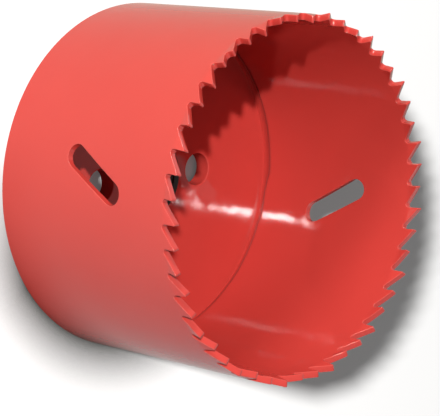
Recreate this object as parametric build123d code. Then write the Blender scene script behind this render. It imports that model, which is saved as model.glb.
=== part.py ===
from build123d import *
import os
from math import cos, floor, pi, radians, sin, tan

# Bi-metal hole saw: a toothed steel strip rolled into a cup, welded to a threaded back plate.
# Millimetres and degrees. The origin is the centre of the cup's rear edge, on which the saw
# stands; +Z runs along the saw's axis, towards the teeth. Azimuths are measured from +X.

# --- driving dimensions: the cup -----------------------------------------------------------
CUP_D = 76.0            # outside diameter of the cup, the nominal size of the saw
CUP_H = 50.4            # rear edge to tooth tips
WALL = 1.4              # thickness of the strip
SEAM_AT = -133.1        # azimuth where the strip's two ends are butt-welded

# --- driving dimensions: the teeth ---------------------------------------------------------
TOOTH_PITCH = 4.905     # tip to tip along the outside of the cup
TIP_LAND = 0.3          # width of the narrow flat behind each cutting edge
RAKE = 4.0              # undercut of the cutting face, from the saw's axis
RELIEF = 36.0           # fall of the back of a tooth, from the plane of the tips
GULLET_R = 0.8          # radius at the root of the gullets
TOOTH_SET = 0.5         # sideways lean of a set tooth, at its tip
BEND_RISE = 0.3         # root of the gullets up to the line along which the teeth are bent
SET_PATTERN = (1, -1, 0)    # out, in, straight, repeated along the strip from its first tooth
FIRST_TIP = 1.9         # first tip, along the strip from its leading end
LAST_GULLET = 1.0       # least length left between the last tip and the strip's other end

# --- driving dimensions: the plug-clearing slots -------------------------------------------
SLOTS = 2
SLOT_AT = -90.0         # azimuth of the first slot's middle
SLOT_Z = 27.3           # height of the slots' middles
SLOT_L = 17.8           # over the round ends
SLOT_W = 4.8
SLOT_LEAN = 60.0        # slope of the slots, from the plane of the rear edge

# --- driving dimensions: the back plate ----------------------------------------------------
PLATE_T = 4.0
PLATE_RECESS = 0.8      # rear edge of the cup to the plate's outer face
INNER_WELD = 1.2        # leg of the weld bead between plate and wall, inside the cup
OUTER_WELD = 0.5        # leg of the bead between plate and wall, at the rear
THREAD_MINOR_R = 7.25   # 5/8"-18 thread for the arbor, cut as its plain minor bore
THREAD_DEPTH = 0.69     # crest to root; the bore's lead-in chamfers open to the thread's roots
PIN_HOLES = 2
PIN_HOLE_R = 3.6        # clearance holes for the arbor's 1/4" drive pins
PIN_CIRCLE_R = 14.6
PIN_AT = -78.2          # azimuth of the first drive-pin hole
PIN_CHAMFER = 0.3

# --- worked out ----------------------------------------------------------------------------
CUP_R = CUP_D / 2
BORE_R = CUP_R - WALL
STRIP_L = pi * CUP_D
TEETH = floor((STRIP_L - FIRST_TIP - LAST_GULLET) / TOOTH_PITCH) + 1
SEAM_PITCH = STRIP_L - (TEETH - 1) * TOOTH_PITCH
PLATE_Z = PLATE_RECESS + PLATE_T
REACH = WALL + TOOTH_SET + 2.0      # how far cutters stand off the wall on both sides


def azimuth(along_strip):
    """Azimuth of a point on the strip, from its length along the outside of the cup."""
    return SEAM_AT + along_strip / STRIP_L * 360


def wall_plane(at, z):
    """Plane touching the cup's outside: its x runs round the cup, its y up, its normal out."""
    a = radians(at)
    return Plane(
        origin=(CUP_R * cos(a), CUP_R * sin(a), z),
        x_dir=(-sin(a), cos(a), 0),
        z_dir=(cos(a), sin(a), 0),
    )


def solid_of_revolution(profile, arc=360.0):
    """Turn a closed (radius, z) outline about the saw's axis."""
    outline = Polyline(*[(r, 0, z) for r, z in profile], close=True)
    return revolve(make_face(outline), Axis.Z, arc)


def tooth_space(pitch):
    """Gap between one tip, at x = 0, and the back of the next tooth, with a round root.

    Drawn on a wall plane at the height of the tips; the cutting face is the side at x = 0.
    """
    depth = (pitch - TIP_LAND) / (1 / tan(radians(RELIEF)) - tan(radians(RAKE)))
    root = (-depth * tan(radians(RAKE)), -depth)
    heel = (pitch - TIP_LAND, 0)
    outline = make_face(Polyline((0, 0), root, heel, (heel[0], 1), (0, 1), close=True))
    lowest = outline.vertices().sort_by(Axis.Y)[0]
    return fillet(lowest, GULLET_R)


def gullet_root(space):
    """Lowest point of a tooth space: how far past the tip, and how far below it."""
    arc = space.edges().filter_by(GeomType.CIRCLE)[0]
    return arc.arc_center.X, arc.arc_center.Y - GULLET_R


def tooth_blank(start, end, bend_z, lean):
    """Stretch of rim that one tooth is cut from, sheared outwards by the tooth's set."""
    section = [(BORE_R, bend_z), (CUP_R, bend_z), (CUP_R + lean, CUP_H), (BORE_R + lean, CUP_H)]
    return Rot(Z=azimuth(start)) * solid_of_revolution(section, azimuth(end) - azimuth(start))


def toothed_cup():
    """Rolled strip with its set teeth and slots, one solid once its seam is welded."""
    space, seam_space = tooth_space(TOOTH_PITCH), tooth_space(SEAM_PITCH)
    (middle, root), (seam_middle, _) = gullet_root(space), gullet_root(seam_space)
    bend_z = CUP_H + root + BEND_RISE
    cup = solid_of_revolution([(BORE_R, 0), (CUP_R, 0), (CUP_R, bend_z), (BORE_R, bend_z)])
    blanks, cuts = [], []
    for k in range(TEETH):
        tip = FIRST_TIP + k * TOOTH_PITCH
        first, last = k == 0, k == TEETH - 1
        before = tip - SEAM_PITCH + seam_middle if first else tip - TOOTH_PITCH + middle
        after = tip + (seam_middle if last else middle)
        lean = TOOTH_SET * SET_PATTERN[k % len(SET_PATTERN)]
        blanks.append(tooth_blank(before, after, bend_z, lean))
        face = wall_plane(azimuth(after), CUP_H) * Pos(X=tip - after)
        cuts.append(extrude(face * (seam_space if last else space), REACH, both=True))
    cup = cup + blanks - cuts
    slot = SlotOverall(SLOT_L, SLOT_W, rotation=SLOT_LEAN)
    for k in range(SLOTS):
        cup -= extrude(wall_plane(SLOT_AT + k * 360 / SLOTS, SLOT_Z) * slot, REACH, both=True)
    return cup


def back_plate():
    """Round plate inside the rear of the cup, with its weld beads, arbor thread and pin holes."""
    plate = solid_of_revolution([
        (0, PLATE_RECESS),
        (BORE_R - OUTER_WELD, PLATE_RECESS),
        (BORE_R, PLATE_RECESS - OUTER_WELD),
        (BORE_R, PLATE_Z + INNER_WELD),
        (BORE_R - INNER_WELD, PLATE_Z),
        (0, PLATE_Z),
    ])
    middle = Pos(Z=PLATE_RECESS + PLATE_T / 2)
    plate -= middle * Cylinder(THREAD_MINOR_R, 2 * PLATE_T)
    plate -= middle * PolarLocations(PIN_CIRCLE_R, PIN_HOLES, PIN_AT) * Cylinder(PIN_HOLE_R, 2 * PLATE_T)
    mouths = plate.edges().filter_by(GeomType.CIRCLE)
    plate = chamfer(mouths.filter_by(lambda e: abs(e.radius - THREAD_MINOR_R) < 0.01), THREAD_DEPTH)
    pin_mouths = plate.edges().filter_by(GeomType.CIRCLE)
    return chamfer(pin_mouths.filter_by(lambda e: abs(e.radius - PIN_HOLE_R) < 0.01), PIN_CHAMFER)


def main():
    os.makedirs("parts", exist_ok=True)
    for name, solid in (("toothed_cup", toothed_cup()), ("back_plate", back_plate())):
        export_step(solid, f"parts/{name}.step")
        print(f"{name}: {solid.volume:.0f} mm3")
    print(f"{TEETH} teeth, {SEAM_PITCH:.2f} mm from tip to tip across the seam")


main()
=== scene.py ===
from math import atan2, ceil, cos, degrees, floor, pi, radians, sin, tan

import bpy
from mathutils import Matrix, Vector
from mathutils.geometry import delaunay_2d_cdt


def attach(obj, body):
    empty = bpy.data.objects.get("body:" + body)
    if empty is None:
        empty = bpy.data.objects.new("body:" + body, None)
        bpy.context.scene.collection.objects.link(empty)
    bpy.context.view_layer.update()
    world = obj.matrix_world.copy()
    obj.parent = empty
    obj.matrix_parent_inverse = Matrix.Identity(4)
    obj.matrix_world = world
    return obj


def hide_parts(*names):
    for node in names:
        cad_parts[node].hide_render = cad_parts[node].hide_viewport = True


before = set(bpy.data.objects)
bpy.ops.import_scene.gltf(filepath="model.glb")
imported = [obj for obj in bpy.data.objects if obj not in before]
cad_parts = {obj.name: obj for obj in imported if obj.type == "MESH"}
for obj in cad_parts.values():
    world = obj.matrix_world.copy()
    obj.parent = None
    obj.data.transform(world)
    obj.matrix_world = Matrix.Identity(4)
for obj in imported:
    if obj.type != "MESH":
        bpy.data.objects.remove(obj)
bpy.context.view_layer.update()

# Finished hole saw: a toothed strip, rolled and enamelled, around a threaded back plate.
# Sizes are in millimetres until a mesh is made; MM turns them into metres.
MM = 0.001

# --- the cup -------------------------------------------------------------------------------
CUP_D = 76.0
CUP_H = 50.4
WALL = 1.4
SEAM_AT = -133.1
CUP_R = CUP_D / 2
BORE_R = CUP_R - WALL
STRIP_L = pi * CUP_D

# --- the teeth -----------------------------------------------------------------------------
TOOTH_PITCH = 4.905
TIP_LAND = 0.3
RAKE = 4.0
RELIEF = 36.0
GULLET_R = 0.6
TOOTH_SET = 0.5
BEND_RISE = 0.3
BEND_SOFTNESS = 0.12        # how gently a tooth leaves the wall at its bend, as a share of it
SET_CYCLE = 3.0             # teeth lean outwards, inwards and not at all, by turns
FIRST_TIP = 1.9
LAST_GULLET = 1.0
TEETH = floor((STRIP_L - FIRST_TIP - LAST_GULLET) / TOOTH_PITCH) + 1
SEAM_PITCH = STRIP_L - (TEETH - 1) * TOOTH_PITCH

# --- the slots -----------------------------------------------------------------------------
SLOTS = 2
SLOT_AT = -90.0
SLOT_Z = 27.3
SLOT_L = 17.8
SLOT_W = 4.8
SLOT_LEAN = 60.0

# --- the back plate ------------------------------------------------------------------------
PLATE_T = 4.0
PLATE_RECESS = 0.8
PLATE_Z = PLATE_RECESS + PLATE_T
INNER_WELD = 1.2
OUTER_WELD = 0.5
THREAD_MINOR_R = 7.25
THREAD_DEPTH = 0.69
THREAD_PITCH = 25.4 / 18
THREAD_FLANK = (0.25, 0.875)    # its start and end, from the crest's middle (0) to the root's (1)
THREAD_MOUTH = 0.9          # how far the inner face's countersink opens past the thread's roots
MOUTH_SLOPE = 1.6           # how much it narrows in radius for each millimetre of depth
THREAD_LIP = 0.12           # flat ring between a mouth of the thread and the plate's face
LIP_RING = 0.45             # place of the ring's middle row of corners, as a share of it
LIP_PALENESS = 0.3
PIN_HOLES = 2
PIN_HOLE_R = 3.6
PIN_CIRCLE_R = 14.6
PIN_AT = -78.2
PIN_CHAMFER = 0.3

# --- how finely the meshes are drawn -------------------------------------------------------
EDGE_R = 0.09               # radius that the enamel leaves on a cut edge
EDGE_STEPS = 3
CORNER_LIMIT = 0.35         # keeps the move of a sharp corner short
TOOTH_COLUMNS = 12          # columns of faces along the strip for one tooth
TOOTH_ROWS = (47.1, 47.8, 48.2, 48.6, 49.1, 49.7)   # heights of the loose points in a tooth
TOOTH_CLEAR = EDGE_R * 1.9  # least distance between a tooth's outline and a loose point
BACK_STEPS = 3              # steps round a gullet's root, on the side of a tooth's back
FACE_STEPS = 5              # and on the side of its cutting face
SIDE_POINT = 0.6            # height of the point on a rim's open side, as a share of the side
JOIN_Z = 46.4               # height where the toothed rim is set on the wall below it
WALL_ROWS = 18
SLOT_END_STEPS = 10
SLOT_SIDE_STEP = 0.45
SLOT_CLEAR = 0.3            # least distance between a slot's outline and a loose point
TURN_COLUMNS = 360
PIN_COLUMNS = 48
THREAD_COLUMNS = 96
THREAD_ROWS = 8             # rows of faces for one turn of the thread
MERGE = 0.002
TINY = 1e-6
INSIDE_ONLY = 1             # kind of result: only the triangles within the outlines


# === flat sheets with rounded edges ========================================================
def inward_moves(loop, joints, edge_r):
    """How each corner of a cut outline moves into the metal to leave room for a round edge.

    The metal lies to the left of the outline. An edge in joints stays where it is, because
    another sheet is joined there.
    """
    count, moves = len(loop), []
    for i, corner in enumerate(loop):
        back = (loop[i - 1] - corner).normalized()
        ahead = (loop[(i + 1) % count] - corner).normalized()
        cut_before, cut_after = (i - 1) % count not in joints, i not in joints
        if cut_before and cut_after:
            n1, n2 = Vector((back.y, -back.x)), Vector((-ahead.y, ahead.x))
            middle = (n1 + n2).normalized()
            moves.append(middle * edge_r / max(middle.dot(n1), CORNER_LIMIT))
        elif cut_before:
            moves.append(ahead * edge_r)
        elif cut_after:
            moves.append(back * edge_r)
        else:
            moves.append(Vector((0, 0)))
    return moves


def inside(point, loop):
    """Whether a point lies inside a closed outline."""
    hit = False
    for i, a in enumerate(loop):
        b = loop[i - 1]
        if (a.y > point.y) != (b.y > point.y):
            if point.x < (b.x - a.x) * (point.y - a.y) / (b.y - a.y) + a.x:
                hit = not hit
    return hit


def edge_profile(thickness, edge_r):
    """Section of a cut edge, front face to back: (share of the move left, depth, wear)."""
    turn = [i / EDGE_STEPS * pi / 2 for i in range(EDGE_STEPS + 1)]
    front = [(1 - sin(a), edge_r * (1 - cos(a)), sin(2 * a)) for a in turn]
    back = [(share, thickness - depth, edge_pool_and_shade) for share, depth, edge_pool_and_shade in reversed(front)]
    return front + back


def cut_sheet(outline, windows, joints, grid, thickness, edge_r):
    """Flat sheet with two faces and rounded cut edges: corners (x, depth, y), faces and wear.

    outline runs anticlockwise and windows run clockwise; joints holds, for each of them, the
    edges left open; grid holds the loose points inside.
    """
    loops = [outline] + windows
    moves = [inward_moves(loop, joints[i], edge_r) for i, loop in enumerate(loops)]
    flat, sides, holes = [], [], []
    for loop, move in zip(loops, moves):
        first = len(flat)
        holes.append([p + m for p, m in zip(loop, move)])
        flat += [p + m for p, m in zip(loop, move)]
        sides += [(first + i, first + (i + 1) % len(loop)) for i in range(len(loop))]
    flat += grid
    found = delaunay_2d_cdt(flat, sides, [], INSIDE_ONLY, TINY)
    points, triangles, source = found[0], found[2], found[3]
    origin = [s[0] for s in source]
    skin = []
    for tri in triangles:
        centre = sum((points[i] for i in tri), Vector((0, 0))) / len(tri)
        if not any(inside(centre, hole) for hole in holes[1:]):
            skin.append([origin[i] for i in tri])
    corners = [(p.x, 0.0, p.y) for p in flat] + [(p.x, thickness, p.y) for p in flat]
    edge_pool_and_shade = [0.0] * len(corners)
    faces = skin + [[i + len(flat) for i in reversed(tri)] for tri in skin]
    profile = edge_profile(thickness, edge_r)
    first = 0
    for loop, move, open_edges in zip(loops, moves, joints):
        rows = [[first + i for i in range(len(loop))]]
        for share, depth, worn in profile[1:-1]:
            rows.append(list(range(len(corners), len(corners) + len(loop))))
            ring = [p + m * share for p, m in zip(loop, move)]
            corners += [(p.x, depth, p.y) for p in ring]
            edge_pool_and_shade += [worn] * len(loop)
        rows.append([first + i + len(flat) for i in range(len(loop))])
        for i in range(len(loop)):
            j = (i + 1) % len(loop)
            if i not in open_edges:
                faces += [(a[j], a[i], b[i], b[j]) for a, b in zip(rows, rows[1:])]
        first += len(loop)
    return corners, faces, edge_pool_and_shade


def spread(a, b, step):
    """Points from a towards b, b left out, no more than a step apart."""
    count = max(1, ceil((b - a).length / step - TINY))
    return [a.lerp(b, i / count) for i in range(count)]


def clear_grid(xs, ys, loops, gap):
    """Grid points that lie inside the first outline and stand clear of every outline."""
    kept = []
    for x in xs:
        for y in ys:
            p = Vector((x, y))
            near = False
            for loop in loops:
                for i, a in enumerate(loop):
                    b = loop[i - 1]
                    if min(a.x, b.x) - gap > x or max(a.x, b.x) + gap < x:
                        continue
                    if min(a.y, b.y) - gap > y or max(a.y, b.y) + gap < y:
                        continue
                    ab = b - a
                    t = max(0.0, min(1.0, (p - a).dot(ab) / ab.length_squared))
                    if (a + ab * t - p).length < gap:
                        near = True
                        break
                if near:
                    break
            if not near and inside(p, loops[0]) and not any(inside(p, w) for w in loops[1:]):
                kept.append(p)
    return kept


def add_object(name, data):
    """Object at the origin, linked into the scene."""
    made = bpy.data.objects.new(name, data)
    bpy.context.scene.collection.objects.link(made)
    return made


def mesh_object(name, corners, faces, edge_pool_and_shade):
    """Object in metres from corners in millimetres."""
    mesh = bpy.data.meshes.new(name)
    mesh.from_pydata([Vector(c) * MM for c in corners], [], faces)
    mesh.attributes.new("edge_pool_and_shade", "FLOAT", "POINT").data.foreach_set("value", edge_pool_and_shade)
    mesh.update()
    return add_object(name, mesh)


# === the teeth =============================================================================
def gullet(pitch):
    """Gap between one tip, at x = 0, and the back of the next tooth.

    Gives the round root's centre and the angles where it meets the cutting face and the back.
    """
    depth = (pitch - TIP_LAND) / (1 / tan(radians(RELIEF)) - tan(radians(RAKE)))
    root = Vector((-depth * tan(radians(RAKE)), -depth))
    to_face = (Vector((0, 0)) - root).normalized()
    to_back = (Vector((pitch - TIP_LAND, 0)) - root).normalized()
    half = to_face.angle(to_back) / 2
    centre = root + (to_face + to_back).normalized() * GULLET_R / sin(half)
    face_touch = root + to_face * GULLET_R / tan(half)
    back_touch = root + to_back * GULLET_R / tan(half)
    face_angle = atan2(*(face_touch - centre).yx)
    back_angle = atan2(*(back_touch - centre).yx)
    return centre, face_angle % (2 * pi) - 2 * pi, back_angle


def arc_points(centre, radius, start, end, steps):
    """Points round an arc, both ends given."""
    turns = [start + (end - start) * i / steps for i in range(steps + 1)]
    return [centre + Vector((cos(a), sin(a))) * radius for a in turns]


def tooth_outline(pitch_before, pitch_after):
    """Outline of one tooth and the rim below it, tip at x = 0, its open edges and its base."""
    step = TOOTH_PITCH / TOOTH_COLUMNS
    shift = Vector((0, CUP_H))
    heel, tip = Vector((-TIP_LAND, CUP_H)), Vector((0, CUP_H))
    centre, _, back_angle = gullet(pitch_before)
    before = arc_points(centre + shift - Vector((pitch_before, 0)), GULLET_R,
                        -pi / 2, back_angle, BACK_STEPS)
    centre, face_angle, _ = gullet(pitch_after)
    after = arc_points(centre + shift, GULLET_R, face_angle, -pi / 2, FACE_STEPS)
    left, right = before[0].x, after[-1].x
    rim = spread(before[-1], heel, step)[1:] + [heel, tip] + spread(tip, after[0], step)[1:]
    base = [Vector((left + (right - left) * i / TOOTH_COLUMNS, JOIN_Z))
            for i in range(TOOTH_COLUMNS + 1)]
    right_side, left_side = [
        Vector((end.x, JOIN_Z * (1 - SIDE_POINT) + end.y * SIDE_POINT))
        for end in (after[-1], before[0])]
    cut = before + rim + after          # left to right; the outline runs right to left
    outline = base + [right_side] + list(reversed(cut)) + [left_side]
    open_edges = set(range(TOOTH_COLUMNS + 2)) | {len(outline) - 2, len(outline) - 1}
    return outline, open_edges, base


def tooth_parts(pitch_before, pitch_after):
    """Corners, faces and wear of one tooth on its piece of rim, tip at x = 0."""
    outline, open_edges, base = tooth_outline(pitch_before, pitch_after)
    grid = clear_grid([p.x for p in base[1:-1]], TOOTH_ROWS, [outline], TOOTH_CLEAR)
    return cut_sheet(outline, [], [open_edges], grid, WALL, EDGE_R)


def moved(parts, by):
    """The same parts, moved along the strip."""
    corners, faces, edge_pool_and_shade = parts
    return [(x + by, y, z) for x, y, z in corners], faces, edge_pool_and_shade


def joined(many):
    """One list of corners, faces, wear and tooth numbers from (parts, number) pairs."""
    corners, faces, edge_pool_and_shade, numbers = [], [], [], []
    for (c, f, w), number in many:
        faces += [[i + len(corners) for i in face] for face in f]
        corners += c
        edge_pool_and_shade += w
        numbers += [float(number)] * len(c)
    return corners, faces, edge_pool_and_shade, numbers


def slot_outline(middle):
    """Clockwise outline of one slot on the flat strip."""
    lean = radians(SLOT_LEAN)
    along = Vector((cos(lean), sin(lean))) * (SLOT_L - SLOT_W) / 2
    centre = Vector((middle, SLOT_Z))
    ring = []
    for end, start in ((centre + along, lean + pi / 2), (centre - along, lean - pi / 2)):
        arc = arc_points(end, SLOT_W / 2, start, start - pi, SLOT_END_STEPS)
        following = (2 * centre - end) + (arc[-1] - end)
        ring += arc[:-1] + spread(arc[-1], following, SLOT_SIDE_STEP)
    return ring


def strip_columns():
    """Places along the strip where the rim's columns of faces stand."""
    seam_middle, middle = gullet(SEAM_PITCH)[0].x, gullet(TOOTH_PITCH)[0].x
    bounds = [FIRST_TIP - SEAM_PITCH + seam_middle]
    bounds += [FIRST_TIP + k * TOOTH_PITCH + middle for k in range(TEETH - 1)]
    bounds.append(FIRST_TIP + (TEETH - 1) * TOOTH_PITCH + seam_middle)
    columns = []
    for a, b in zip(bounds, bounds[1:]):
        columns += [a + (b - a) * i / TOOTH_COLUMNS for i in range(TOOTH_COLUMNS)]
    return columns + [bounds[-1]]


def wall_parts():
    """The strip below its teeth, flat, with its slots cut."""
    columns = strip_columns()
    rows = [JOIN_Z * i / WALL_ROWS for i in range(1, WALL_ROWS)]
    bottom = [Vector((x, 0)) for x in columns]
    top = [Vector((x, JOIN_Z)) for x in reversed(columns)]
    right = [Vector((columns[-1], z)) for z in rows]
    left = [Vector((columns[0], z)) for z in reversed(rows)]
    outline = bottom + right + top + left
    cut_edges = len(bottom) - 1
    windows = []
    for k in range(SLOTS):
        turn = (SLOT_AT + k * 360 / SLOTS - SEAM_AT) % 360
        windows.append(slot_outline(turn / 360 * STRIP_L))
    grid = []
    near = [(min(p.x for p in w) - SLOT_CLEAR, max(p.x for p in w) + SLOT_CLEAR) for w in windows]
    for x in columns[1:-1]:
        beside = [w for w, (a, b) in zip(windows, near) if a < x < b]
        if beside:                      # a large box stands in for the strip's long outline
            a, b, low, high = x - CUP_H, x + CUP_H, -CUP_H, 2 * CUP_H
            box = [Vector(c) for c in ((a, low), (b, low), (b, high), (a, high))]
            grid += clear_grid([x], rows, [box] + beside, SLOT_CLEAR)
        else:
            grid += [Vector((x, z)) for z in rows]
    joints = [set(range(cut_edges, len(outline)))] + [set() for _ in windows]
    return cut_sheet(outline, windows, joints, grid, WALL, EDGE_R)


# === building node trees ===================================================================
class Tree:
    """Short way of writing a node tree: node() gives the new node, the rest give its outputs."""

    def __init__(self, tree):
        self.tree, self.nodes, self.links = tree, tree.nodes, tree.links

    def put(self, socket, value):
        if isinstance(value, bpy.types.NodeSocket):
            self.links.new(value, socket)
        elif value is not None:
            socket.default_value = value

    def node(self, kind, inputs=None, **settings):
        made = self.nodes.new(kind)
        for name, value in settings.items():
            setattr(made, name, value)
        for key, value in (inputs or {}).items():
            self.put(made.inputs[key], value)
        return made

    def math(self, operation, a, b=None, c=None):
        made = self.node("ShaderNodeMath", operation=operation)
        for socket, value in zip(made.inputs, (a, b, c)):
            self.put(socket, value)
        return made.outputs[0]

    def remap(self, value, low, high, to_low, to_high):
        made = self.node("ShaderNodeMapRange", {0: value, 1: low, 2: high, 3: to_low, 4: to_high})
        return made.outputs[0]

    def noise(self, vector, scale, detail, roughness=0.5):
        return self.node("ShaderNodeTexNoise", {
            "Vector": vector, "Scale": scale, "Detail": detail, "Roughness": roughness}).outputs[0]

    def from_noise(self, value, to_low, to_high):
        """Range from a noise, whose own values lie nearly all between 0.3 and 0.7."""
        return self.remap(value, 0.3, 0.7, to_low, to_high)

    def mix(self, share, first, second, **settings):
        """Colour between two others."""
        return self.node("ShaderNodeMix", {0: share, 6: first, 7: second},
                         data_type="RGBA", **settings).outputs[2]

    def split(self, vector):
        return self.node("ShaderNodeSeparateXYZ", {0: vector}).outputs

    def around(self, radius, angle, height):
        """Point at a distance from the Z axis, an angle about it and a height."""
        return self.node("ShaderNodeCombineXYZ", {
            0: self.math("MULTIPLY", radius, self.math("COSINE", angle)),
            1: self.math("MULTIPLY", radius, self.math("SINE", angle)), 2: height}).outputs[0]

    def welded(self, geometry, distance):
        """Corners that meet merged, faces smooth and instances real."""
        merged = self.node("GeometryNodeMergeByDistance", {
            "Geometry": geometry, "Distance": distance})
        smooth = self.node("GeometryNodeSetShadeSmooth", {"Geometry": merged.outputs[0]})
        return self.node("GeometryNodeRealizeInstances", {0: smooth.outputs[0]}).outputs[0]


def new_group(name, kind, inputs, outputs):
    """Node group with named sockets: (name, type, default) each."""
    group = bpy.data.node_groups.new(name, kind)
    for title, kind_of, value in inputs:
        socket = group.interface.new_socket(title, in_out="INPUT", socket_type=kind_of)
        if value is not None:
            socket.default_value = value
    for title, kind_of in outputs:
        group.interface.new_socket(title, in_out="OUTPUT", socket_type=kind_of)
    t = Tree(group)
    return t, t.node("NodeGroupInput").outputs, t.node("NodeGroupOutput").inputs


def set_inputs(modifier, values):
    """Give a Geometry Nodes modifier its values, by each socket's identifier."""
    for item in modifier.node_group.interface.items_tree:
        if item.item_type == "SOCKET" and item.in_out == "INPUT" and item.name in values:
            modifier[item.identifier] = values[item.name]


def rolled_strip_tree():
    """Sets a tooth on the strip for every pitch, rolls the strip up and leans the teeth."""
    t, given, result = new_group("rolled_toothed_strip", "GeometryNodeTree", [
        ("Strip", "NodeSocketGeometry", None),
        ("Tooth", "NodeSocketObject", None),
        ("Teeth Between", "NodeSocketInt", 47),
        ("First Tip", "NodeSocketFloat", 0.0),
        ("Pitch", "NodeSocketFloat", 0.005),
        ("Set", "NodeSocketFloat", 0.0005),
        ("Bend Height", "NodeSocketFloat", 0.048),
        ("Tip Height", "NodeSocketFloat", 0.05),
        ("Bend Softness", "NodeSocketFloat", 0.1),
        ("Outside Radius", "NodeSocketFloat", 0.038),
        ("Seam Azimuth", "NodeSocketFloat", 0.0),
        ("Merge Distance", "NodeSocketFloat", 1e-6),
        ("Enamel", "NodeSocketMaterial", None),
    ], [("Cup", "NodeSocketGeometry")])
    start = t.node("ShaderNodeCombineXYZ", {0: t.math("ADD", given["First Tip"], given["Pitch"])})
    step = t.node("ShaderNodeCombineXYZ", {0: given["Pitch"]})
    line = t.node("GeometryNodeMeshLine", {
        "Count": given["Teeth Between"], "Start Location": start.outputs[0],
        "Offset": step.outputs[0]})
    tooth = t.node("GeometryNodeObjectInfo", {"Object": given["Tooth"]})
    stood = t.node("GeometryNodeInstanceOnPoints", {
        "Points": line.outputs[0], "Instance": tooth.outputs["Geometry"]})
    number = t.math("ADD", t.node("GeometryNodeInputIndex").outputs[0], 1.0)
    numbered = t.node("GeometryNodeStoreNamedAttribute", {
        "Geometry": stood.outputs[0], "Name": "tooth_number", "Value": number},
        data_type="FLOAT", domain="INSTANCE")
    real = t.node("GeometryNodeRealizeInstances", {0: numbered.outputs[0]})
    whole = t.node("GeometryNodeJoinGeometry")
    t.links.new(given["Strip"], whole.inputs[0])
    t.links.new(real.outputs[0], whole.inputs[0])

    along, depth, up = t.split(t.node("GeometryNodeInputPosition").outputs[0])
    number = t.node("GeometryNodeInputNamedAttribute", {"Name": "tooth_number"}, data_type="FLOAT")
    turn = t.math("MODULO", number.outputs["Attribute"], SET_CYCLE)
    slack = 0.2                         # tooth numbers are whole but for rounding
    side = t.math("SUBTRACT", t.math("COMPARE", turn, 0.0, slack),
                  t.math("COMPARE", turn, 1.0, slack))
    reach = t.remap(up, given["Bend Height"], given["Tip Height"], 0.0, 1.0)
    eased = t.math("DIVIDE", t.math("MULTIPLY", t.math("POWER", reach, 2.0),
                                    t.math("ADD", given["Bend Softness"], 1.0)),
                   t.math("ADD", reach, given["Bend Softness"]))
    lean = t.math("MULTIPLY", t.math("MULTIPLY", given["Set"], side), eased)
    radius = t.math("ADD", t.math("SUBTRACT", given["Outside Radius"], depth), lean)
    angle = t.math("ADD", given["Seam Azimuth"], t.math("DIVIDE", along, given["Outside Radius"]))
    rolled = t.node("GeometryNodeSetPosition", {
        "Geometry": whole.outputs[0], "Position": t.around(radius, angle, up)})
    enamelled = t.node("GeometryNodeSetMaterial", {
        "Geometry": t.welded(rolled.outputs[0], given["Merge Distance"]),
        "Material": given["Enamel"]})
    t.links.new(enamelled.outputs[0], result["Cup"])
    return t.tree


def arbor_thread_tree():
    """Cuts a threaded bore between two faces, with a chamfer at each mouth."""
    t, given, result = new_group("arbor_thread", "GeometryNodeTree", [
        ("Plate", "NodeSocketGeometry", None),
        ("Minor Radius", "NodeSocketFloat", 0.007),
        ("Depth", "NodeSocketFloat", 0.0007),
        ("Countersink", "NodeSocketFloat", 0.0009),
        ("Pitch", "NodeSocketFloat", 0.0014),
        ("Low Face", "NodeSocketFloat", 0.0),
        ("High Face", "NodeSocketFloat", 0.004),
        ("Columns", "NodeSocketInt", 97),
        ("Rows", "NodeSocketInt", 40),
        ("Rows Length", "NodeSocketFloat", 0.006),
        ("Merge Distance", "NodeSocketFloat", 1e-6),
        ("Enamel", "NodeSocketMaterial", None),
        ("Bare Steel", "NodeSocketMaterial", None),
    ], [("Plate", "NodeSocketGeometry")])
    grid = t.node("GeometryNodeMeshGrid", {
        "Size X": 1.0, "Size Y": 1.0, "Vertices X": given["Columns"], "Vertices Y": given["Rows"]})
    across, along, _ = t.split(t.node("GeometryNodeInputPosition").outputs[0])
    half = 0.5                          # the grid is 1 by 1, about the origin
    turn = t.math("ADD", across, half)
    travel = t.math("MULTIPLY", t.math("ADD", along, half), given["Rows Length"])
    climb = t.math("MULTIPLY", turn, given["Pitch"])
    low, high = given["Low Face"], given["High Face"]
    free = t.math("SUBTRACT", t.math("ADD", t.math("ADD", low, travel), climb), given["Pitch"])
    height = t.math("MINIMUM", t.math("MAXIMUM", free, low), high)
    nudge = 1e-7                        # keeps a row on a turn's start in that turn
    phase = t.math("FRACT", t.math("DIVIDE", t.math("ADD", travel, nudge), given["Pitch"]))
    swing = t.math("MULTIPLY", t.math("ABSOLUTE", t.math("SUBTRACT", phase, 0.5)), 2.0)
    flank = t.remap(swing, *THREAD_FLANK, 0.0, 1.0)
    groove = t.math("ADD", given["Minor Radius"], t.math("MULTIPLY", given["Depth"], flank))
    root = t.math("ADD", given["Minor Radius"], given["Depth"])
    rear_mouth = t.math("SUBTRACT", root, t.math("SUBTRACT", height, low))
    slope = t.math("MULTIPLY", t.math("SUBTRACT", high, height), MOUTH_SLOPE)
    front_mouth = t.math("SUBTRACT", t.math("ADD", root, given["Countersink"]), slope)
    radius = t.math("MAXIMUM", t.math("MAXIMUM", groove, rear_mouth), front_mouth)
    angle = t.math("MULTIPLY", turn, 2 * pi)
    wound = t.node("GeometryNodeSetPosition", {
        "Geometry": grid.outputs[0], "Position": t.around(radius, angle, height)})
    turned = t.node("GeometryNodeFlipFaces", {0: wound.outputs[0]})
    steel = t.node("GeometryNodeSetMaterial", {
        "Geometry": turned.outputs[0], "Material": given["Bare Steel"]})
    enamel = t.node("GeometryNodeSetMaterial", {
        "Geometry": given["Plate"], "Material": given["Enamel"]})
    whole = t.node("GeometryNodeJoinGeometry")
    t.links.new(enamel.outputs[0], whole.inputs[0])
    t.links.new(steel.outputs[0], whole.inputs[0])
    t.links.new(t.welded(whole.outputs[0], given["Merge Distance"]), result["Plate"])
    return t.tree


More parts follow.
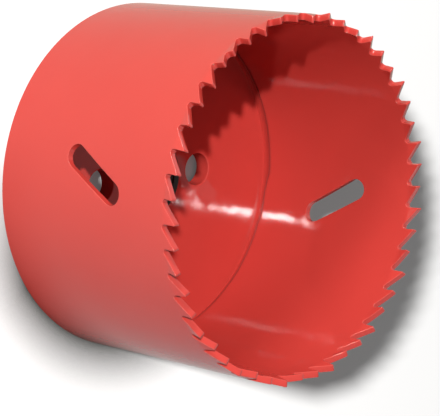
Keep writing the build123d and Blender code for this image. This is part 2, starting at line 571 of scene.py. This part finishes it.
def made_plain(worker, name):
    """Plain mesh object from an object with live modifiers, which is then removed."""
    bpy.context.view_layer.update()
    ready = worker.evaluated_get(bpy.context.evaluated_depsgraph_get())
    mesh = bpy.data.meshes.new_from_object(ready)
    mesh.name = name
    bpy.data.objects.remove(worker)
    return add_object(name, mesh)


def add_weighted_normals(worker):
    """Flat faces stay flat to the eye and only the rounded edges turn the light."""
    weighted = worker.modifiers.new("weighted_normals", "WEIGHTED_NORMAL")
    weighted.weight = 100               # the largest faces decide
    weighted.keep_sharp = True


# === the back plate ========================================================================
def circle(radius, count, clockwise=False, centre=(0, 0)):
    """Points round a full circle."""
    turn = -1 if clockwise else 1
    return [Vector((centre[0] + radius * cos(turn * 2 * pi * i / count),
                    centre[1] + radius * sin(turn * 2 * pi * i / count)))
            for i in range(count)]


def turned_band(section_at, columns):
    """Closed band about the saw's axis: corners, faces and wear.

    section_at gives the section's corners (radius, z, wear) at an azimuth in radians, and the
    metal lies to the right of them.
    """
    corners, faces, edge_pool_and_shade = [], [], []
    for i in range(columns):
        a = 2 * pi * i / columns
        for r, z, worn in section_at(a):
            corners.append((r * cos(a), r * sin(a), z))
            edge_pool_and_shade.append(worn)
    count = len(corners) // columns
    for i in range(columns):
        k = (i + 1) % columns
        faces += [(i * count + j + 1, k * count + j + 1, k * count + j, i * count + j)
                  for j in range(count - 1)]
    return corners, faces, edge_pool_and_shade


# Height of the inner weld's upper edge on the wall, by azimuth: the bead was laid by hand.
WELD_EDGE = ((0, 5.6), (33, 5.3), (46, 5.5), (60, 5.85), (76, 5.95), (82, 6.25), (89, 6.0),
             (93, 6.3), (97, 6.95), (105, 7.0), (117, 7.1), (150, 6.6), (185, 6.2), (225, 6.5),
             (262, 6.1), (300, 6.4), (330, 5.9), (360, 5.6))
WELD_ROWS = (0.0, 0.03, 0.25, 0.5, 0.7, 0.85, 0.95, 1.0)    # rows of corners up its height
WELD_START = BORE_R - 2.6   # where the plate's flat disc ends and its rim, with the welds, begins
WELD_FOOT = 0.20            # how far the steep inner weld reaches onto the plate's face
WELD_LEDGE = 0.16           # how far its upper edge stands off the wall
WELD_CROWN = (0.3, 0.16)    # the next corner: share of the ledge left, and drop from the edge
WELD_END_DROP = 0.2         # how far below its edge the weld ends, inside the wall
IN_WALL = BORE_R + 0.02     # just inside the metal of the wall, so that no gap is left
POOL_AND_SHADE_DEPTH = 0.9            # how deep the enamel lies at the inner weld's upper edge; its colour is darkened there as painted crease shade
POOL_CURVE = 1.6            # how late on the way up it gathers
# The outer weld's corners: inwards from the wall, out from the rear face, depth of enamel, which
# darkens the colour as pooled enamel and painted crease shade.
OUTER_BEAD = ((0.12, 0.36, 0.8), (0.34, 0.12, 0.5), (0.56, 0.0, 0.0))


def weld_height(a):
    """Rise of the inner weld above the plate's face at an azimuth in radians."""
    turn = degrees(a) % 360
    for (before, low), (after, high) in zip(WELD_EDGE, WELD_EDGE[1:]):
        if before <= turn <= after:
            ease = (1 - cos(pi * (turn - before) / (after - before))) / 2
            return low + (high - low) * ease - PLATE_Z


def weld_section(a):
    """Section of the plate's rim and both welds at one azimuth: (radius, z, wear).

    Enamel that lies thick counts below zero; it darkens the colour as pooled enamel and as painted
    crease shade.
    """
    rise = weld_height(a)
    edge = PLATE_Z + rise
    section = [(WELD_START, PLATE_Z, 0.0), (BORE_R - INNER_WELD, PLATE_Z, 0.0)]
    for share in WELD_ROWS:
        section.append((BORE_R - WELD_FOOT + (WELD_FOOT - WELD_LEDGE) * share,
                        PLATE_Z + rise * share, POOL_AND_SHADE_DEPTH * share ** POOL_CURVE))
    section += [(BORE_R - WELD_CROWN[0] * WELD_LEDGE, edge - WELD_CROWN[1], 1.0),
                (IN_WALL, edge - WELD_END_DROP, 1.0), (IN_WALL, PLATE_RECESS - OUTER_WELD, 1.0)]
    section += [(BORE_R - inward, PLATE_RECESS - outward, depth)
                for inward, outward, depth in OUTER_BEAD]
    section.append((WELD_START, PLATE_RECESS, 0.0))
    return [(r, z, -depth) for r, z, depth in section]


def plate_parts():
    """Plate with its holes and both weld beads, in place; the bore is left open."""
    front_r = THREAD_MINOR_R + THREAD_DEPTH + THREAD_MOUTH + THREAD_LIP
    rear_r = THREAD_MINOR_R + THREAD_DEPTH + THREAD_LIP
    outline = circle(WELD_START, TURN_COLUMNS)
    windows = [circle(front_r, THREAD_COLUMNS, True)]
    for k in range(PIN_HOLES):
        at = radians(PIN_AT + k * 360 / PIN_HOLES)
        centre = (PIN_CIRCLE_R * cos(at), PIN_CIRCLE_R * sin(at))
        windows.append(circle(PIN_HOLE_R, PIN_COLUMNS, True, centre))
    joints = [set(range(TURN_COLUMNS)), set(range(THREAD_COLUMNS))] + [set()] * PIN_HOLES
    corners, faces, edge_pool_and_shade = cut_sheet(outline, windows, joints, [], PLATE_T, PIN_CHAMFER)
    disc = ([(x, y, PLATE_Z - depth) for x, depth, y in corners], faces, edge_pool_and_shade)
    many = [(disc, 0), (turned_band(weld_section, TURN_COLUMNS), 0)]
    ring = LIP_RING * THREAD_LIP
    front_lip = [(r, PLATE_Z, LIP_PALENESS) for r in (front_r - THREAD_LIP, front_r - ring, front_r)]
    rear_lip = [(r, PLATE_RECESS, LIP_PALENESS)
                for r in (front_r, rear_r, rear_r - ring, rear_r - THREAD_LIP)]
    for lip in (front_lip, rear_lip):
        many.append((turned_band(lambda a: lip, THREAD_COLUMNS), 0))
    return joined(many)


# === finishes ==============================================================================
def orange_peel_group():
    """Height of the slight waves that enamel dries in."""
    t, given, result = new_group("orange_peel", "ShaderNodeTree", [
        ("Vector", "NodeSocketVector", None),
        ("Fine Scale", "NodeSocketFloat", 900.0),
        ("Broad Scale", "NodeSocketFloat", 200.0),
        ("Broad Share", "NodeSocketFloat", 0.88),
    ], [("Height", "NodeSocketFloat")])
    fine = t.noise(given["Vector"], given["Fine Scale"], detail=2.0)
    broad = t.noise(given["Vector"], given["Broad Scale"], detail=1.0, roughness=0.4)
    fine_share = t.math("SUBTRACT", 1.0, given["Broad Share"])
    t.links.new(t.math("ADD", t.math("MULTIPLY", broad, given["Broad Share"]),
                       t.math("MULTIPLY", fine, fine_share)), result["Height"])
    return t.tree


def pale_edge_group():
    """Broken mask that makes the rounded edges paler."""
    t, given, result = new_group("pale_edges", "ShaderNodeTree", [
        ("Vector", "NodeSocketVector", None),
        ("Edge", "NodeSocketFloat", 0.0),
        ("Amount", "NodeSocketFloat", 0.5),
        ("Scale", "NodeSocketFloat", 700.0),
    ], [("Mask", "NodeSocketFloat")])
    noise = t.noise(given["Vector"], given["Scale"], detail=3.0, roughness=0.6)
    broken = t.from_noise(noise, 0.25, 1.0)
    t.links.new(t.math("MULTIPLY", t.math("MULTIPLY", given["Edge"], broken), given["Amount"]),
                result["Mask"])
    return t.tree


def speck_group():
    """Mask of the few specks of dust that dried into the enamel."""
    t, given, result = new_group("paint_specks", "ShaderNodeTree", [
        ("Vector", "NodeSocketVector", None),
        ("Scale", "NodeSocketFloat", 150.0),
        ("Size", "NodeSocketFloat", 0.06),
        ("Share", "NodeSocketFloat", 0.1),
    ], [("Mask", "NodeSocketFloat")])
    cells = t.node("ShaderNodeTexVoronoi", {"Vector": given["Vector"], "Scale": given["Scale"]})
    spot = t.remap(cells.outputs["Distance"], given["Size"],
                   t.math("MULTIPLY", given["Size"], 0.5), 0.0, 1.0)
    draw = t.node("ShaderNodeSeparateColor", {0: cells.outputs["Color"]}).outputs[0]
    chosen = t.math("LESS_THAN", draw, given["Share"])
    t.links.new(t.math("MULTIPLY", spot, chosen), result["Mask"])
    return t.tree


PEEL, PALE_EDGES, SPECKS = orange_peel_group(), pale_edge_group(), speck_group()

RED, DEEP_RED = (0.575, 0.052, 0.041, 1), (0.555, 0.048, 0.038, 1)
# The pooled red is deep enamel in the welds' corners, darkened further as painted crease shade.
PALE_RED, POOLED_AND_SHADED_RED = (0.78, 0.20, 0.16, 1), (0.22, 0.018, 0.015, 1)
ENAMEL_IOR = 1.58
ENAMEL_HAZE = (0.85, 1.2)   # least and most roughness, as shares of the enamel's own
PEEL_STRENGTH = 0.8
PEEL_DEPTH = 0.00008        # metres
SPECK_PALENESS = 0.5
SPECK_RISE = 0.3            # beside the orange peel's own height
POOL_ROUGHNESS = 0.4        # what is added where the enamel pooled

DARK_STEEL, LIGHT_STEEL = (0.03, 0.027, 0.025, 1), (0.10, 0.09, 0.083, 1)
STEEL_ROUGHNESS = (0.25, 0.45)
CHATTER_STRETCH = (1.0, 1.0, 30.0)
CHATTER_STRENGTH = 0.3
CHATTER_DEPTH = 0.00002     # metres


def new_material(name):
    """Material with an empty tree."""
    material = bpy.data.materials.new(name)
    material.use_nodes = True
    material.node_tree.nodes.clear()
    return material, Tree(material.node_tree)


def enamel(name, roughness, edge_paleness, speck_share):
    """Glossy oven enamel: slight orange peel, paler on its rounded edges, deep where it pooled.

    Its corner attribute is above zero on rounded edges, and below zero where the enamel lies
    thick; there the colour darkens as pooled enamel and as painted crease shade.
    """
    material, t = new_material(name)
    place = t.node("ShaderNodeTexCoord").outputs["Object"]
    cloud = t.noise(place, scale=45.0, detail=3.0)
    tone = t.mix(t.from_noise(cloud, 0.0, 1.0), RED, DEEP_RED)
    edge_pool_and_shade = t.node("ShaderNodeAttribute", attribute_name="edge_pool_and_shade").outputs["Fac"]
    worn = t.node("ShaderNodeGroup", {
        "Vector": place, "Edge": t.math("MAXIMUM", edge_pool_and_shade, 0.0), "Amount": edge_paleness},
        node_tree=PALE_EDGES).outputs[0]
    pale_edged = t.mix(worn, tone, PALE_RED)
    speck = t.node("ShaderNodeGroup", {"Vector": place, "Share": speck_share},
                   node_tree=SPECKS).outputs[0]
    dusty = t.mix(t.math("MULTIPLY", speck, SPECK_PALENESS), pale_edged, PALE_RED)
    # Painted crease shade with pooled enamel: below zero the colour darkens and the gloss dulls.
    pool_and_shade = t.math("MAXIMUM", t.math("MULTIPLY", edge_pool_and_shade, -1.0), 0.0)
    full = t.mix(pool_and_shade, dusty, POOLED_AND_SHADED_RED)
    peel = t.node("ShaderNodeGroup", {"Vector": place}, node_tree=PEEL).outputs[0]
    height = t.math("ADD", peel, t.math("MULTIPLY", speck, SPECK_RISE))
    bump = t.node("ShaderNodeBump", {
        "Strength": PEEL_STRENGTH, "Distance": PEEL_DEPTH, "Height": height})
    haze = t.noise(place, scale=90.0, detail=2.0)
    least, most = ENAMEL_HAZE
    smooth = t.from_noise(haze, roughness * least, roughness * most)
    gloss = t.math("ADD", smooth, t.math("MULTIPLY", pool_and_shade, POOL_ROUGHNESS))
    shader = t.node("ShaderNodeBsdfPrincipled", {
        "Base Color": full, "Roughness": gloss, "IOR": ENAMEL_IOR, "Normal": bump.outputs[0]})
    t.node("ShaderNodeOutputMaterial", {"Surface": shader.outputs[0]})
    return material


def oiled_steel():
    """Bare machined steel of the thread, dark with preserving oil."""
    material, t = new_material("oiled_steel")
    place = t.node("ShaderNodeTexCoord").outputs["Object"]
    stain = t.noise(place, scale=500.0, detail=4.0)
    tone = t.mix(stain, DARK_STEEL, LIGHT_STEEL)
    lines = t.node("ShaderNodeMapping", {"Vector": place, "Scale": CHATTER_STRETCH})
    chatter = t.noise(lines.outputs[0], scale=300.0, detail=2.0)
    bump = t.node("ShaderNodeBump", {
        "Strength": CHATTER_STRENGTH, "Distance": CHATTER_DEPTH, "Height": chatter})
    shader = t.node("ShaderNodeBsdfPrincipled", {
        "Base Color": tone, "Metallic": 1.0, "Roughness": t.from_noise(stain, *STEEL_ROUGHNESS),
        "Normal": bump.outputs[0]})
    t.node("ShaderNodeOutputMaterial", {"Surface": shader.outputs[0]})
    return material


CUP_ENAMEL = enamel("cup_enamel", roughness=0.085, edge_paleness=0.5, speck_share=0.02)
PLATE_ENAMEL = enamel("plate_enamel", roughness=0.065, edge_paleness=0.15, speck_share=0.02)
STEEL = oiled_steel()


# === the pieces ============================================================================
def toothed_cup():
    """The strip with its teeth and slots, rolled into a tube."""
    root_z = CUP_H + gullet(TOOTH_PITCH)[0].y - GULLET_R
    first = moved(tooth_parts(SEAM_PITCH, TOOTH_PITCH), FIRST_TIP)
    last = moved(tooth_parts(TOOTH_PITCH, SEAM_PITCH), FIRST_TIP + (TEETH - 1) * TOOTH_PITCH)
    corners, faces, edge_pool_and_shade, numbers = joined([(wall_parts(), 2), (first, 0), (last, TEETH - 1)])
    worker = mesh_object("strip", corners, faces, edge_pool_and_shade)
    worker.data.attributes.new("tooth_number", "FLOAT", "POINT").data.foreach_set("value", numbers)
    tooth = mesh_object("tooth", *tooth_parts(TOOTH_PITCH, TOOTH_PITCH))
    rolling = worker.modifiers.new("rolling", "NODES")
    rolling.node_group = rolled_strip_tree()
    set_inputs(rolling, {
        "Tooth": tooth, "Teeth Between": TEETH - 2, "First Tip": FIRST_TIP * MM,
        "Pitch": TOOTH_PITCH * MM, "Set": TOOTH_SET * MM, "Bend Height": (root_z + BEND_RISE) * MM,
        "Tip Height": CUP_H * MM, "Bend Softness": BEND_SOFTNESS, "Outside Radius": CUP_R * MM,
        "Seam Azimuth": radians(SEAM_AT), "Merge Distance": MERGE * MM, "Enamel": CUP_ENAMEL})
    add_weighted_normals(worker)
    piece = made_plain(worker, "toothed_cup_finish")
    bpy.data.objects.remove(tooth)
    return piece


def back_plate():
    """The plate with its holes, thread and both welds."""
    corners, faces, edge_pool_and_shade, _ = plate_parts()
    worker = mesh_object("plate", corners, faces, edge_pool_and_shade)
    threading = worker.modifiers.new("threading", "NODES")
    threading.node_group = arbor_thread_tree()
    turns = ceil(PLATE_T / THREAD_PITCH) + 1
    set_inputs(threading, {
        "Minor Radius": THREAD_MINOR_R * MM, "Depth": THREAD_DEPTH * MM,
        "Pitch": THREAD_PITCH * MM, "Countersink": THREAD_MOUTH * MM,
        "Low Face": PLATE_RECESS * MM, "High Face": PLATE_Z * MM,
        "Columns": THREAD_COLUMNS + 1, "Rows": turns * THREAD_ROWS + 1,
        "Rows Length": turns * THREAD_PITCH * MM,
        "Merge Distance": MERGE * MM, "Enamel": PLATE_ENAMEL, "Bare Steel": STEEL})
    add_weighted_normals(worker)
    return made_plain(worker, "back_plate_finish")


cup = toothed_cup()
plate = back_plate()
for piece, node, slot in ((cup, "toothed_cup", "cup_paint"), (plate, "back_plate", "plate_paint")):
    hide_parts(node)
    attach(piece, "root")


# === the studio ============================================================================
PLAIN = (1, 1, 1, 1)
PAPER_SEEN = (0.44, 0.437, 0.432, 1)        # by the camera
PAPER_GLOW = 0.07           # light of its own, also for the camera only
PAPER_BOUNCE = (0.24, 0.24, 0.24, 1)        # for the light it throws on the saw
PAPER_REFLECTION_TINTS = (0.25, 0.235, 0.19, 1), (0.24, 0.235, 0.24, 1)     # painted reflection tints, warm towards -X and neutral towards +X
MIRRORED_SPAN = (-0.08, 0.08)   # where along X the one turns into the other, in metres
SHADOW_REACH = 0.016          # how far from the cup the painted contact shadow reaches, in metres
SHADOW_FADE = (0.52, 0.92)    # openness at which it is full and at which it has gone
SHADOW_START = (-1.7, -0.8)   # azimuths over which it comes in, in radians
SHADOW_END = (2.0, 2.6)       # azimuths over which it goes out
# colour of the painted contact shadow
PAINTED_SHADOW_COLOUR = (0.06, 0.06, 0.055, 1)
CUP_EDGE = (0.0373, 0.0379)     # distances from the axis over which it starts, in metres
FLOOR_HALF = 4.0            # metres
FLOOR_DROP = 0.00005        # metres; keeps the floor just clear of the cup's rear edge
WORLD_HEIGHTS = (0.0, 0.75)     # between which the studio's own light changes
MIRROR_HEIGHTS = (0.15, 0.8)    # between which its reflection changes
MIRROR_LEVELS = (0.85, 0.25)
CAMERA_LENS, SENSOR_WIDTH = 161.05, 36.0
CAMERA_CLIP = (0.01, 50.0)      # metres
CAMERA_PLACE = (-8.835, -302.705, 313.656)
CAMERA_AXES = ((-0.12944, 0.68488, 0.71707),    # right
               (-0.99109, -0.06658, -0.11532),  # up
               (-0.03124, -0.72561, 0.6874))    # back


def floor_material():
    """White paper sweep: what the camera and reflections see of it, and what lights the saw.

    A contact shadow is painted next to the cup, on the side away from the key lamp.
    """
    material, t = new_material("white_paper")
    path = t.node("ShaderNodeLightPath").outputs
    where = t.node("ShaderNodeTexCoord").outputs["Object"]
    x, y, _ = t.split(where)
    # Painted reflection: what the saw's glossy rays see of the paper is tinted by side.
    warm, cool = PAPER_REFLECTION_TINTS
    mirrored = t.mix(t.remap(x, *MIRRORED_SPAN, 0.0, 1.0), warm, cool)
    bounce = t.mix(path["Is Glossy Ray"], PAPER_BOUNCE, mirrored)
    colour = t.mix(path["Is Camera Ray"], bounce, PAPER_SEEN)
    # Painted shadow: ambient occlusion near the cup, masked to one side of it, darkens the paper's
    # colour and its glow.
    ao_openness = t.node("ShaderNodeAmbientOcclusion", {"Distance": SHADOW_REACH}, samples=16).outputs["AO"]
    shadow_depth = t.remap(ao_openness, *SHADOW_FADE, 1.0, 0.0)
    turn = t.math("ARCTAN2", y, x)
    side = t.math("MULTIPLY", t.remap(turn, *SHADOW_START, 0.0, 1.0),
                  t.remap(turn, *SHADOW_END, 1.0, 0.0))
    out = t.node("ShaderNodeVectorMath", {0: where}, operation="LENGTH").outputs["Value"]
    beside = t.math("MULTIPLY", side, t.remap(out, *CUP_EDGE, 0.0, 1.0))
    shade = t.mix(t.math("MULTIPLY", beside, shadow_depth), PLAIN, PAINTED_SHADOW_COLOUR)
    paper = t.mix(1.0, colour, shade, blend_type="MULTIPLY")
    glow = t.node("ShaderNodeEmission", {
        "Color": shade, "Strength": t.math("MULTIPLY", path["Is Camera Ray"], PAPER_GLOW)})
    sheet = t.node("ShaderNodeBsdfDiffuse", {"Color": paper})
    both = t.node("ShaderNodeAddShader", {0: sheet.outputs[0], 1: glow.outputs[0]})
    t.node("ShaderNodeOutputMaterial", {"Surface": both.outputs[0]})
    return material


def studio_floor():
    """Square of paper, far larger than the picture."""
    mesh = bpy.data.meshes.new("floor")
    mesh.from_pydata([(x * FLOOR_HALF, y * FLOOR_HALF, 0)
                      for x, y in ((-1, -1), (1, -1), (1, 1), (-1, 1))], [], [(0, 1, 2, 3)])
    mesh.materials.append(floor_material())
    made = add_object("floor", mesh)
    made.location.z = -FLOOR_DROP
    return made


def direction(azimuth, elevation):
    """Unit vector towards an azimuth and an elevation in degrees."""
    a, e = radians(azimuth), radians(elevation)
    return Vector((cos(a) * cos(e), sin(a) * cos(e), sin(e)))


def lamp(name, azimuth, elevation, distance, width, level, lit):
    """Round soft lamp that lights only the objects in lit.

    A level of 1 shows a white card that faces it as white.
    """
    data = bpy.data.lights.new(name, "AREA")
    data.shape, data.size = "DISK", width
    data.energy = level * pi * pi * distance ** 2
    made = add_object(name, data)
    made.location = direction(azimuth, elevation) * distance
    made.rotation_euler = direction(azimuth, elevation).to_track_quat("Z", "Y").to_euler()
    made.light_linking.receiver_collection = bpy.data.collections.new(name + "_lights")
    for one in lit:
        made.light_linking.receiver_collection.objects.link(one)


def world_light(horizon, overhead):
    """White studio: bright low down, dimmer overhead; the camera sees plain white."""
    world = bpy.data.worlds.new("studio")
    bpy.context.scene.world = world
    world.use_nodes = True
    world.node_tree.nodes.clear()
    t = Tree(world.node_tree)
    path = t.node("ShaderNodeLightPath").outputs
    up = t.split(t.node("ShaderNodeTexCoord").outputs["Object"])[2]
    light = t.remap(up, *WORLD_HEIGHTS, horizon, overhead)
    mirrored = t.remap(up, *MIRROR_HEIGHTS, *MIRROR_LEVELS)
    shiny = t.math("ADD", path["Is Glossy Ray"], path["Is Transmission Ray"])
    shiny = t.math("MINIMUM", shiny, 1.0)
    strength = t.node("ShaderNodeMix", {0: shiny, 2: light, 3: mirrored}).outputs[0]
    strength = t.node("ShaderNodeMix", {0: path["Is Camera Ray"], 2: strength, 3: 1.0}).outputs[0]
    shade = t.node("ShaderNodeBackground", {"Color": PLAIN, "Strength": strength})
    t.node("ShaderNodeOutputWorld", {"Surface": shade.outputs[0]})


def studio_camera():
    """Long lens from above the toothed side."""
    data = bpy.data.cameras.new("camera")
    data.lens, data.sensor_width, data.sensor_fit = CAMERA_LENS, SENSOR_WIDTH, "HORIZONTAL"
    data.clip_start, data.clip_end = CAMERA_CLIP
    turned = Matrix(CAMERA_AXES).transposed().to_4x4()
    made = add_object("camera", data)
    made.matrix_world = Matrix.Translation(Vector(CAMERA_PLACE) * MM) @ turned
    bpy.context.scene.camera = made


paper = studio_floor()
lamp("key", azimuth=-106.2, elevation=42.6, distance=2.0, width=0.048, level=1.05,
     lit=[cup, plate])
lamp("fill", azimuth=-148.0, elevation=14.0, distance=2.0, width=0.5, level=0.42,
     lit=[cup, plate])
lamp("paper_lamp", azimuth=-97.8, elevation=35.5, distance=2.0, width=0.14, level=3.65,
     lit=[paper])
world_light(horizon=0.56, overhead=0.16)
studio_camera()
bpy.context.scene.view_settings.view_transform = "Standard"
